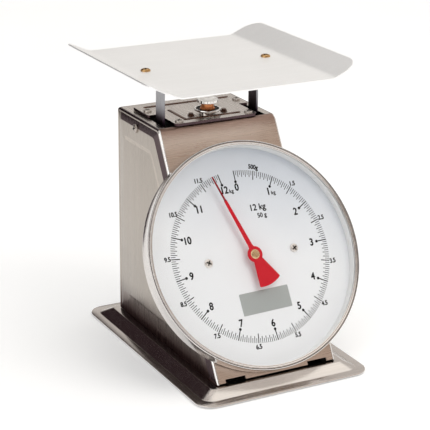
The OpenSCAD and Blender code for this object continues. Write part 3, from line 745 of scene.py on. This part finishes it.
def stadium(a, b, r, z, steps=8):
    """Outline around a line from a to b, at distance r."""
    heading = math.degrees(math.atan2(b[1] - a[1], b[0] - a[0]))
    spots = arc(b[0], b[1], r, heading - 90, heading + 90, steps)
    spots += arc(a[0], a[1], r, heading + 90, heading + 270, steps)
    return [(x, y, z) for x, y in spots]


def bead(bm, a, b):
    section = [(1.75, -0.1), (1.7, 0.1), (1.4, 0.42), (0.9, 0.62), (0.4, 0.69)]
    rows = skin(bm, [stadium(a, b, r, PLATE_Z + h) for r, h in section],
                paint=lambda k, i: 2)
    bm.faces.new(rows[-1]).material_index = 2
    bm.faces.new(list(reversed(rows[0])))


def build_knob():
    place = at(0, COL_Y, 0)
    bm = bmesh.new()
    cup = [(3.05, 205.6), (7.2, 205.6), (7.2, 208), (11.0, 208.5), (11.8, 209.1), (12.05, 209.8),
           (11.85, 210.5), (11.4, 210.7), (10.9, 210.4), (9.2, 209.5), (7.0, 209.3),
           (3.05, 209.3), (3.05, 205.6)]
    lathe(bm, cup, 288, lambda k, a: cup[k][0] - (0.9 * abs(math.cos(10 * a))
                                                  if k in (8, 9) else 0))
    # The dish inside the chrome cup takes the near-black recess material: painted shade.
    for face in bm.faces:
        middle = face.calc_center_median()
        radius = math.hypot(middle.x, middle.y)
        face.material_index = int(radius < 10.6 and middle.z > 209)
    bmesh.ops.remove_doubles(bm, verts=bm.verts, dist=0.001)
    finish_piece("knob_cup", bm, [MAT["chrome"], MAT["recess"]], "housing", ["knob_collar"],
                 place, sharp=32)
    bm = bmesh.new()
    neck = [(3.02, 209.5), (6.3, 209.5), (6.6, 209.8), (6.6, 210.8), (6.3, 211.1),
            (5.7, 211.2), (5.4, 211.6), (5.4, 212.1), (5.6, 212.4), (5.6, 215.6),
            (5.3, 216.1), (3.02, 216.1), (3.02, 209.5)]
    lathe(bm, neck, 96)
    bmesh.ops.remove_doubles(bm, verts=bm.verts, dist=0.001)
    finish_piece("knob_stem", bm, [MAT["copper"]], "zero_knob", ["knob_neck"],
                 place, sharp=32)
    bm = bmesh.new()
    disc = [(3.02, 216.15), (9.2, 216.15), (9.6, 216.5), (9.6, 218.6), (9.2, 219.05),
            (8.3, 219.25), (7.4, 219.1), (6.9, 219.0), (3, 219.15), (0, 219.2)]

    def notched(k, a):
        near = abs((math.degrees(a) + 10) % 20 - 10) * math.radians(1) * 9.9
        return disc[k][0] - (0.45 * (1 - smoothstep(near / 0.8)) if k in (2, 3, 4) else 0)

    lathe(bm, disc, 360, notched)
    finish_piece("knob_disc", bm, [MAT["chrome"]], "zero_knob", ["zero_knob"],
                 place, sharp=32)


# ---- posts and platform ----

def build_post(name, side):
    low, high = extent(name)
    inner = min(abs(low.x), abs(high.x))
    outer = max(abs(low.x), abs(high.x))
    t, r = 2.0, 1.6
    top = high.z
    path = [(inner, low.z), (inner + t, low.z)]
    path += arc(inner + t + r, top - t - r, r, 180, 90, 6)
    path += [(outer, top - t), (outer, top)]
    path += arc(inner + t + r, top - t - r, t + r, 90, 180, 6)
    bm = bmesh.new()
    prism(bm, path, -(high.y - low.y) / 2, (high.y - low.y) / 2)
    turn = Matrix(((side, 0, 0, 0), (0, 0, -1, COL_Y), (0, 1, 0, 0), (0, 0, 0, 1)))
    bmesh.ops.transform(bm, matrix=turn, verts=bm.verts)
    bmesh.ops.recalc_face_normals(bm, faces=bm.faces)
    bm.normal_update()
    # Faces turned towards the middle take the near-black copy of the post steel: painted shade.
    for face in bm.faces:
        face.material_index = int(face.normal.x * side < -0.5)
    finish_piece(name + "_strip", bm, [MAT["post"], MAT["post_shaded_face"]], "platform", [name],
                 bevel=0.35)


def platform_height(x):
    """Height of the upper side of the platform at x."""
    r = FLARE_BEND_R
    start = FLARE_X - r * math.tan(FLARE_ANGLE / 2)
    bend = start + r * math.sin(FLARE_ANGLE)
    x = abs(x)
    if x <= start:
        return TRAY_Z
    if x <= bend:
        return TRAY_Z + r - math.sqrt(r * r - (x - start) ** 2)
    return TRAY_Z + r - r * math.cos(FLARE_ANGLE) + (x - bend) * math.tan(FLARE_ANGLE)


def build_platform():
    low, high = extent("platform")
    end = high.x - 0.52
    depth = (high.y - low.y) / 2
    corner = 16.0
    marks = [0, 15, 30, 45, 60, 66, 69, 70, 71, 72, 73, 74, 75, 75.8, 77, 80]
    marks += [end - corner + corner * math.sin(math.radians(a)) for a in range(0, 90, 8)]
    marks += [end - 0.03, end]
    xs = sorted({-x for x in marks} | set(marks))
    bm = bmesh.new()
    rings = []
    for x in xs:
        over = max(abs(x) - (end - corner), 0)
        reach = depth - corner + math.sqrt(max(corner ** 2 - over ** 2, 0))
        z = platform_height(x)
        rings.append([(x, COL_Y + reach * (j / 8 - 1), z) for j in range(17)])
    skin(bm, rings, closed=False)
    thicken(bm, SHEET, (0, 0, -1))
    finish_piece("weighing_platform", bm, [MAT["platform"]], "platform", ["platform"],
                 sharp=50, bevel=0.3)


# ---- dial ----

def build_bezel():
    profile = [(98.92, 1.3), (99.8, 1.3), (100, 1.5), (100, 2.4), (99.85, 2.8), (99.85, 12.4),
               (99.98, 12.9), (99.95, 13.7), (99.7, 14.1), (99.4, 14.2), (99.2, 14.05),
               (99.05, 13.4), (98.9, 13.35), (98.72, 13.9), (98.45, 14.12), (97.35, 13.98),
               (97.15, 13.8), (96.95, 13.9), (96.2, 13.75), (95.9, 13.5), (95.85, 13.2),
               (98.92, 13.2), (98.92, 1.3)]
    bm = bmesh.new()
    steps = 240
    lathe(bm, profile, steps)
    bmesh.ops.remove_doubles(bm, verts=bm.verts, dist=0.001)
    # A thin ring in the groove of the lip takes the near-black edge material: painted shade.
    for face in bm.faces:
        middle = face.calc_center_median()
        radius = math.hypot(middle.x, middle.y)
        if 98.7 < radius < 99.25 and middle.z > 13.3:
            face.material_index = 1
    finish_piece("bezel", bm, [MAT["bezel"], MAT["edge"]], "housing", ["bezel_ring"],
                 ON_DIAL, sharp=40)


def build_dial_rings():
    bm = bmesh.new()
    lathe(bm, [(95.7, 3.78), (97.35, 3.78), (97.35, 11.8), (97.1, 11.9), (95.9, 11.9),
               (95.6, 11.6), (95.6, 4.1), (95.7, 3.78)], 240)
    bmesh.ops.remove_doubles(bm, verts=bm.verts, dist=0.001)
    finish_piece("inner_ring", bm, [MAT["ring"]], "housing", ["spacer_ring"],
                 ON_DIAL)
    bm = bmesh.new()
    lathe(bm, [(0, 12), (97.1, 12), (97.35, 12.2), (97.35, 12.75), (97.1, 12.95), (0, 12.95)],
          240)
    finish_piece("front_glass", bm, [MAT["glass"]], "housing", ["lens"], ON_DIAL)


ZERO = math.radians(1.1)
PER_KG = math.radians(29.01)
TOP_LOAD = 12
STEP_KG = 0.05
TICK_OUT = 75.6
DOT_R = 65.7
NUMBER_R = 60.6
HALF_NUMBER_R = 78.9
PRINT_Z = 3.7
PRINT_H = 0.05


def on_circle(r, kg):
    """Point of the dial at radius r and a load of kg, and the clockwise angle there."""
    a = ZERO + PER_KG * kg
    return r * math.sin(a), r * math.cos(a), a


def tick(bm, kg, inner, outer, width):
    _, _, a = on_circle(1, kg)
    along = Vector((math.sin(a), math.cos(a)))
    across = Vector((math.cos(a), -math.sin(a))) * width / 2
    outline = [along * inner - across, along * outer - across,
               along * outer + across, along * inner + across]
    prism(bm, [tuple(p) for p in outline], PRINT_Z - 0.02, PRINT_Z + PRINT_H, 1)


def spot(bm, x, y, r):
    prism(bm, arc(x, y, r, 0, 337.5, 15), PRINT_Z - 0.02, PRINT_Z + PRINT_H, 1)


def write(bm, words, x, y, size, turn=0.0, weight=0.0, squeeze=1.0):
    """Sets a number of the dial, centred on x, y. weight thickens its strokes."""
    curve = bpy.data.curves.new("number", "FONT")
    curve.body = words
    curve.size = size
    curve.align_x = "CENTER"
    curve.align_y = "CENTER"
    curve.extrude = PRINT_H / 2
    thing = bpy.data.objects.new("number", curve)
    bpy.context.scene.collection.objects.link(thing)
    bpy.context.view_layer.update()
    mesh = bpy.data.meshes.new_from_object(
        thing.evaluated_get(bpy.context.evaluated_depsgraph_get()))
    place = at(x, y, PRINT_Z + PRINT_H / 2) @ Matrix.Rotation(-turn, 4, "Z")
    mesh.transform(place @ Matrix.Diagonal((squeeze, 1, 1, 1)))
    before = len(bm.faces)
    for side, rise in ((0, 0), (1, 0.3), (-1, -0.3), (0.3, -1), (-0.3, 1)):
        stroke = mesh.copy()
        stroke.transform(at(side * weight, rise * weight, 0))
        bm.from_mesh(stroke)
        bpy.data.meshes.remove(stroke)
    bm.faces.ensure_lookup_table()
    for face in bm.faces[before:]:
        face.material_index = 1
    bpy.data.objects.remove(thing)
    bpy.data.curves.remove(curve)
    bpy.data.meshes.remove(mesh)


def print_scale(bm):
    for step in range(round(TOP_LOAD / STEP_KG) + 1):
        kg = step * STEP_KG
        if step % 20 == 0:
            tick(bm, kg, 66.4, TICK_OUT, 0.9)
            x, y, _ = on_circle(DOT_R, kg)
            spot(bm, x, y, 1.25)
        elif step % 10 == 0:
            tick(bm, kg, 67.4, TICK_OUT, 0.8)
        elif step % 2 == 0:
            tick(bm, kg, 69.6, TICK_OUT, 0.56)
        else:
            tick(bm, kg, 71.4, TICK_OUT, 0.5)


def print_numbers(bm):
    for kg in range(TOP_LOAD + 1):
        x, y, _ = on_circle(NUMBER_R, kg)
        write(bm, str(kg), x, y, 8.8, 0, 0.3, 0.86)
        if kg in (1, TOP_LOAD):
            write(bm, "kg", x + (6.6 if kg == TOP_LOAD else 4.6), y - 1.4, 4.8, 0, 0.12)
        if kg < TOP_LOAD:
            x, y, a = on_circle(HALF_NUMBER_R, kg + 0.5)
            label = "500g" if kg == 0 else str(kg + 0.5)
            write(bm, label, x, y, 5.5, a if kg == 0 else 0, 0.24, 0.88)


def build_dial():
    bm = bmesh.new()
    lathe(bm, [(3, 2.72), (97.2, 2.72), (97.38, 2.9), (97.38, 3.55), (97.2, 3.7), (60, 3.7),
               (3, 3.7), (3, 2.72)], 180)
    bmesh.ops.remove_doubles(bm, verts=bm.verts, dist=0.001)
    print_scale(bm)
    print_numbers(bm)
    write(bm, "12 kg", 16.3, 40.6, 7.8, 0, 0.2, 0.95)
    write(bm, "50 g", 18.9, 33.2, 5.6, 0, 0.17, 0.95)
    finish_piece("dial_face", bm, [MAT["dial"], MAT["ink"]], "housing", ["dial_plate"],
                 ON_DIAL)
    bm = bmesh.new()
    outline = [(p.x, p.y) for p, _, _ in
               round_corners([(-21.5, -49.6), (26.3, -49.6), (26.3, -30.6), (-21.5, -30.6)],
                             [0.8] * 4, 4)]
    prism(bm, outline, 3.7, 3.84)
    finish_piece("face_label", bm, [MAT["label"]], "housing", ["dial_label"],
                 ON_DIAL @ Matrix.Rotation(math.radians(1.2), 4, "Z"))


def pointer_turn():
    """Matrix from the pointer's own frame, tip along +y, to the dial frame at rest."""
    to_dial = ON_DIAL.inverted() @ TO_DRAWING
    spots = [to_dial @ v.co for v in nodes["pointer"].data.vertices]
    tip = max(spots, key=lambda p: math.hypot(p.x, p.y))
    return Matrix.Rotation(math.atan2(tip.y, tip.x) - math.pi / 2, 4, "Z")


def build_pointer():
    place = ON_DIAL @ pointer_turn()
    bm = bmesh.new()
    blade = [(-3.2, 4.5), (-2.1, 8.5), (-1.4, 52), (1.4, 52), (2.1, 8.5), (3.2, 4.5)]
    prism(bm, blade, 10.12, 10.68)
    prism(bm, [(-1.35, 51.9), (-0.85, 53.5), (-0.72, 75.5), (0.72, 75.5), (0.85, 53.5),
               (1.35, 51.9)], 10.12, 10.66, 1)
    fan = [(-4.4, -5), (-10.9, -26.1)] + arc(0, 0, 28.9, 249, 291, 16) + [(10.9, -26.1), (4.4, -5)]
    prism(bm, fan, 10.12, 10.68)
    lathe(bm, [(0, 10.05), (7.0, 10.05), (7.1, 10.2), (7.0, 10.62), (6.7, 10.74), (0, 10.74)], 48)
    finish_piece("needle", bm, [MAT["red"], MAT["red_dark"]], "pointer", ["pointer"],
                 place, bevel=0.12)
    bm = bmesh.new()
    lathe(bm, [(0, 10.76), (4.1, 10.76), (4.2, 10.95), (3.8, 11.4), (3.0, 11.65), (2.2, 11.7),
               (2.0, 11.45), (0, 11.4)], 48)
    finish_piece("needle_cap", bm, [MAT["brass"]], "pointer", ["pointer_cap"], place)


# ---- springs ----

def build_spring(node):
    low, high = extent(node)
    wire = 1.1
    radius = (high.x - low.x) / 2 - wire
    x = (low.x + high.x) / 2
    start, stop = low.z + wire, high.z - wire
    turns, per_turn, sides = 16, 28, 10
    slope = (stop - start) / (turns * 2 * math.pi * radius)
    rings = []
    for i in range(turns * per_turn + 1):
        a = 2 * math.pi * i / per_turn
        out = Vector((math.cos(a), math.sin(a), 0))
        up = Vector((math.sin(a) * slope, -math.cos(a) * slope, 1)).normalized()
        share = i / (turns * per_turn)
        pitch = share + 0.012 * math.sin(2 * math.pi * share)
        middle = Vector((x, COL_Y, start + (stop - start) * min(max(pitch, 0), 1)))
        middle += out * radius
        rings.append([middle + wire * (out * math.cos(b) + up * math.sin(b))
                      for b in (2 * math.pi * j / sides for j in range(sides))])
    bm = bmesh.new()
    rows = skin(bm, rings)
    bm.faces.new(rows[0])
    bm.faces.new(list(reversed(rows[-1])))
    piece = finish_piece(node + "_coil", bm, [MAT["spring"]], None, None)
    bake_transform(piece)
    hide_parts(node)


# ---- CAD nodes that keep their shape ----

SLOT_LOOKS = {
    "base_steel": "base", "body_steel": "side", "front_steel": "front",
    "platform_steel": "platform", "plated_steel": "plated", "post_steel": "post",
    "screw_steel": "screw", "screw_brass": "brass_screw", "brass": "brass",
    "copper_brass": "copper", "knob_chrome": "chrome", "bezel_steel": "bezel",
    "case_steel": "case", "dial_white": "dial", "label_grey": "label", "ring_white": "ring",
    "clear": "glass", "rubber_black": "rubber", "pointer_red": "red",
    "spring_steel": "spring"}


def paint_nodes():
    for entry in frame["record"]["subparts"]:
        mesh = nodes[entry["node"]].data
        mesh.materials.clear()
        look = "bead" if entry["node"] == "guide_pins" else SLOT_LOOKS[entry["material_slot"]]
        mesh.materials.append(MAT[look])


# ---- studio ----

def build_floor():
    bm = bmesh.new()
    bmesh.ops.create_grid(bm, x_segments=8, y_segments=8, size=2400)
    floor = finish_piece("floor", bm, [studio_paper()], None, None)


def studio_paper():
    shader = Shader("studio_paper", (0.93, 0.93, 0.93), 0.0, 0.8)
    shader.set("Emission Color", (0.93, 0.97, 1, 1))
    shader.set("Emission Strength", 0.24)
    cloudy = shader.noise((3, 3, 3), 3.0)
    tone = shader.blend(shader.remap(cloudy, 0, 1), (0.93, 0.93, 0.93), (0.91, 0.91, 0.905))
    shader.link(tone, shader.bsdf.inputs["Base Color"])
    shader.bump(shader.noise((900, 900, 900), 2.0), 0.02, 0.0001)
    return shader.material


# Soft studio around the scale: (direction, inner and outer half angle, colour).
ROOM = (0.86, 0.85, 0.84)
PATCHES = [
    ((0.45, 0.80, 0.40), 20, 50, (0.72, 0.69, 0.66)),
    ((0.25, -0.2, 0.95), 22, 45, (1.38, 1.35, 1.30)),
    ((0.45, -0.70, 0.55), 20, 36, (0.58, 0.50, 0.44)),
    ((-0.28, -0.78, 0.52), 12, 26, (0.12, 0.09, 0.08)),
    ((-0.30, 0.84, 0.45), 22, 33, (0.025, 0.012, 0.015)),
    ((-0.60, 0.80, 0.02), 14, 26, (0.05, 0.03, 0.035)),
    ((-0.95, 0.28, 0.05), 14, 24, (0.14, 0.10, 0.09)),
    ((-0.88, -0.33, 0.34), 12, 26, (1.6, 1.6, 1.6)),
]


def build_world():
    world = bpy.data.worlds.new("studio")
    world.use_nodes = True
    bpy.context.scene.world = world
    tree = world.node_tree
    background = tree.nodes["Background"]
    spot = tree.nodes.new("ShaderNodeTexCoord")
    color = None
    for direction, inner, outer, glow in PATCHES:
        dot = tree.nodes.new("ShaderNodeVectorMath")
        dot.operation = "DOT_PRODUCT"
        dot.inputs[1].default_value = Vector(direction).normalized()
        tree.links.new(spot.outputs["Generated"], dot.inputs[0])
        edge = tree.nodes.new("ShaderNodeMapRange")
        edge.interpolation_type = "SMOOTHSTEP"
        edge.inputs["From Min"].default_value = math.cos(math.radians(outer))
        edge.inputs["From Max"].default_value = math.cos(math.radians(inner))
        tree.links.new(dot.outputs["Value"], edge.inputs["Value"])
        mix = tree.nodes.new("ShaderNodeMix")
        mix.data_type = "RGBA"
        mix.inputs[6].default_value = (*ROOM, 1)
        if color:
            tree.links.new(color, mix.inputs[6])
        mix.inputs[7].default_value = (*glow, 1)
        tree.links.new(edge.outputs["Result"], mix.inputs[0])
        color = mix.outputs[2]
    seen = tree.nodes.new("ShaderNodeLightPath")
    white = tree.nodes.new("ShaderNodeMix")
    white.data_type = "RGBA"
    white.inputs[7].default_value = (1, 1, 1, 1)
    tree.links.new(seen.outputs["Is Camera Ray"], white.inputs[0])
    tree.links.new(color, white.inputs[6])
    tree.links.new(white.outputs[2], background.inputs["Color"])


def soft_light(name, spot, target, size, power):
    data = bpy.data.lights.new(name, "AREA")
    data.size = size
    data.energy = power
    light = bpy.data.objects.new(name, data)
    light.visible_glossy = False
    bpy.context.scene.collection.objects.link(light)
    light.location = Vector(spot)
    light.rotation_euler = (Vector(spot) - Vector(target)).to_track_quat("Z", "Y").to_euler()


def build_camera():
    right = Vector((0.88248, -0.47028, 0.00849))
    up = Vector((0.14971, 0.29795, 0.94277))
    back = right.cross(up)
    data = bpy.data.cameras.new("view")
    data.lens = 130.74
    data.sensor_width = 36
    camera = bpy.data.objects.new("view", data)
    bpy.context.scene.collection.objects.link(camera)
    camera.matrix_world = Matrix.Translation(TO_ROW @ Vector((-620.3, -1138.5, 579.3))) @ \
        Matrix((right, up, back)).transposed().to_4x4()
    bpy.context.scene.camera = camera


def build_studio():
    scene = bpy.context.scene
    scene.view_settings.view_transform = "Standard"
    scene.view_settings.look = "None"
    build_floor()
    build_world()
    soft_light("key", (0.45, -0.85, 1.35), (0, 0, 0.1), 0.9, 7)
    build_camera()


paint_nodes()
build_base()
build_side("right_side", False)
build_side("left_side", True)
build_front()
build_top_cap()
build_rear()
build_all_screws()
build_plate()
build_knob()
build_post("left_post", -1)
build_post("right_post", 1)
build_platform()
build_bezel()
build_dial_rings()
build_dial()
build_pointer()
build_spring("left_spring")
build_spring("right_spring")
build_studio()
